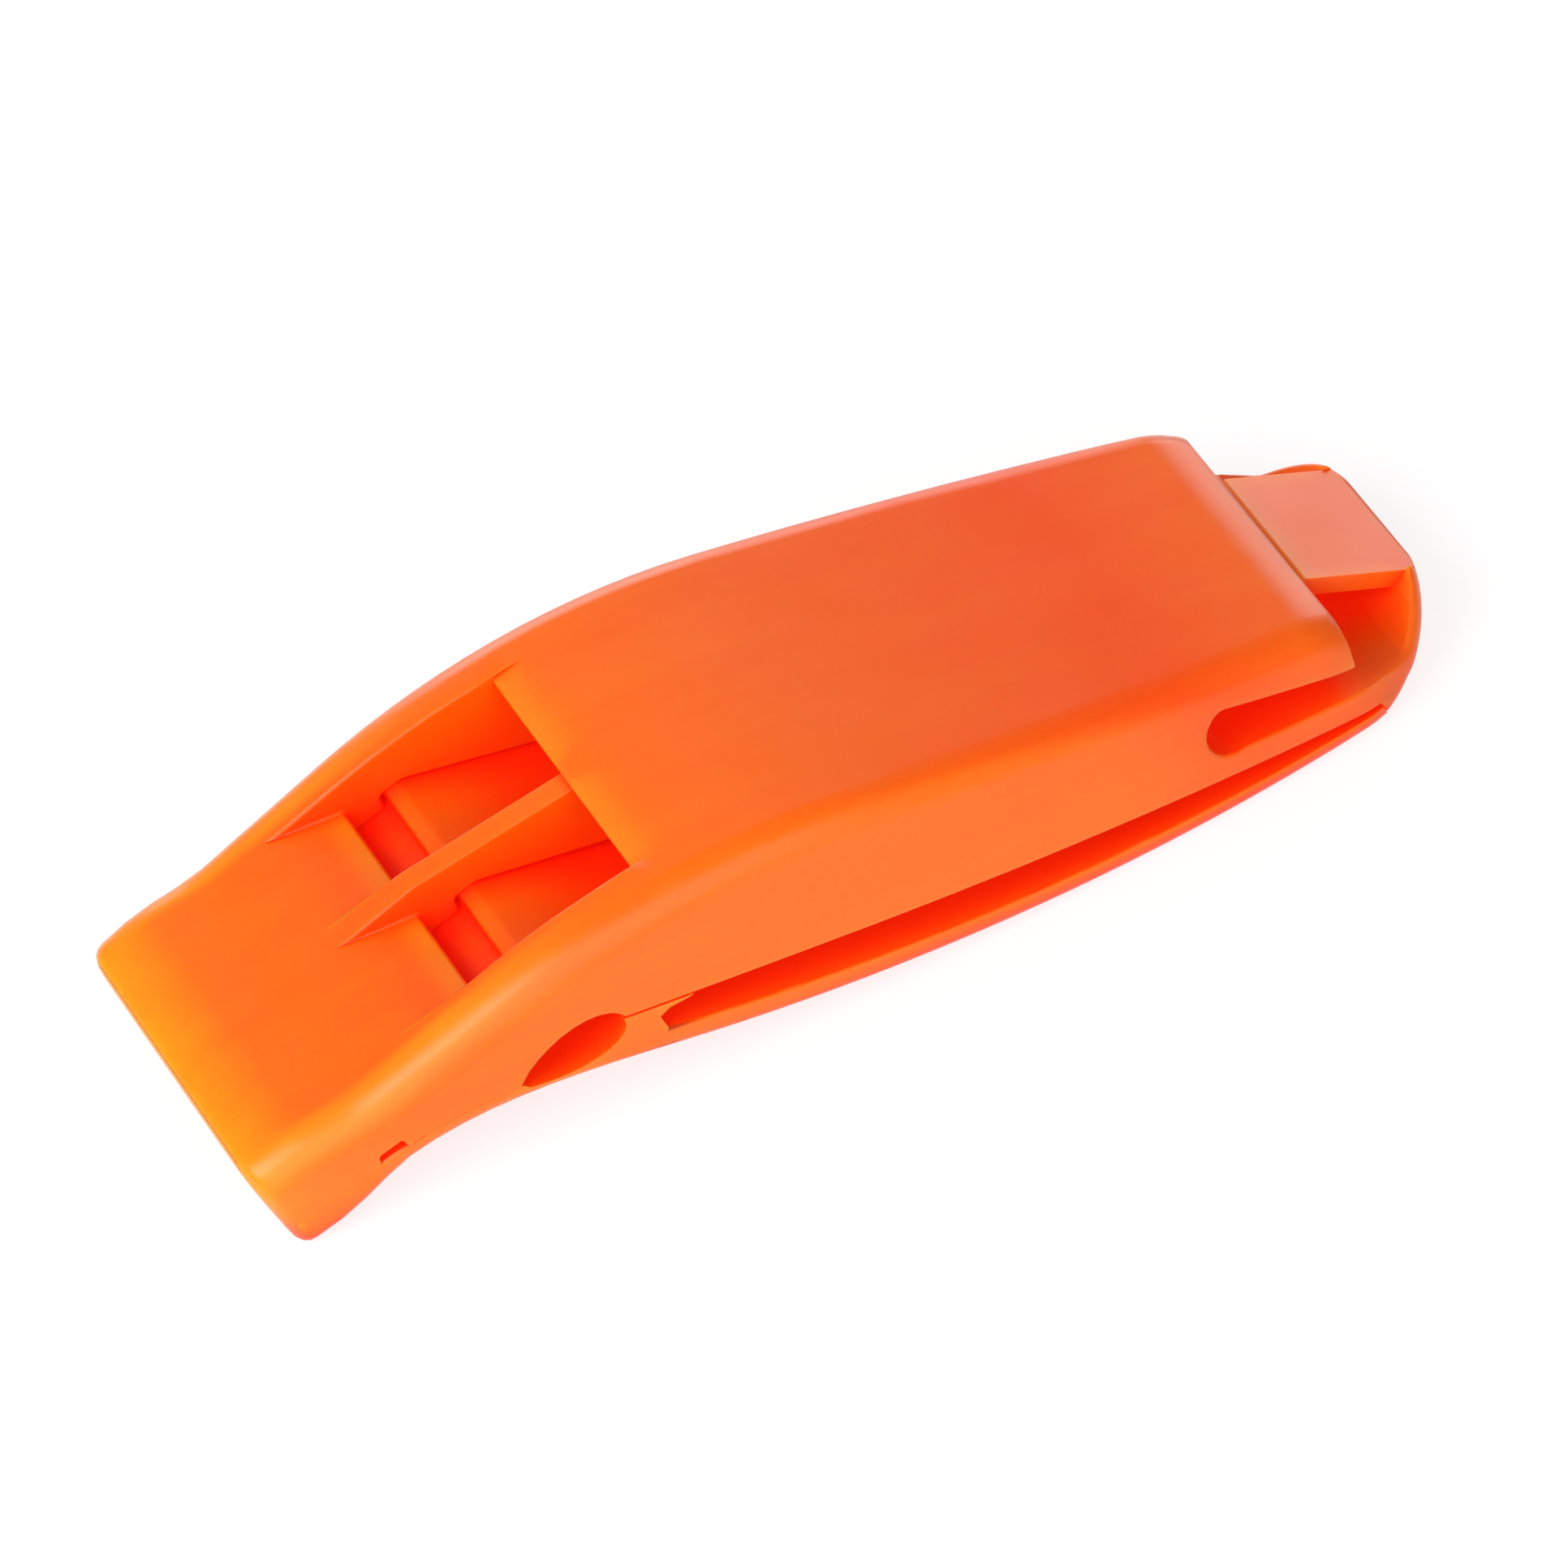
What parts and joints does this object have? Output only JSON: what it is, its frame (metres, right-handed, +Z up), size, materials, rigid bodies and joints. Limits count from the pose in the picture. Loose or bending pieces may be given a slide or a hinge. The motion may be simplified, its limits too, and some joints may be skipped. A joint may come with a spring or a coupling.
{
  "type": "safety whistle",
  "caption": "Slim moulded pealess safety whistle: flat mouthpiece, sound windows on top, arched body, lanyard eye at the tail and a sprung belt clip underneath.",
  "frame": {"origin": "centre of the whistle's plan box on the surface it lies on", "axes": "+X from the lips to the tail, +Y across the whistle, +Z up from the surface it lies on"},
  "size_m": [0.0754, 0.0246, 0.0143],
  "materials": {
    "body_plastic": "glossy orange moulded ABS",
    "insert_plastic": "satin orange moulded ABS",
    "floor_plastic": "satin orange moulded ABS",
    "base_plastic": "glossy orange moulded ABS",
    "clip_plastic": "glossy orange moulded ABS"
  },
  "bodies": {
    "base": {"body_shell": "body_plastic", "windway_insert": "insert_plastic", "chamber_floor": "floor_plastic", "clip_base": "base_plastic"},
    "clip": {"clip_arm": "clip_plastic"}
  },
  "joints": [
    {"name": "clip_flex", "type": "hinge", "parent": "base", "child": "clip", "pos_m": [-0.01276, 0, 0.00365], "axis": [0, 1, 0], "range_deg": [0, 6], "stiffness_Nm_per_rad": 1.2}
  ]
}
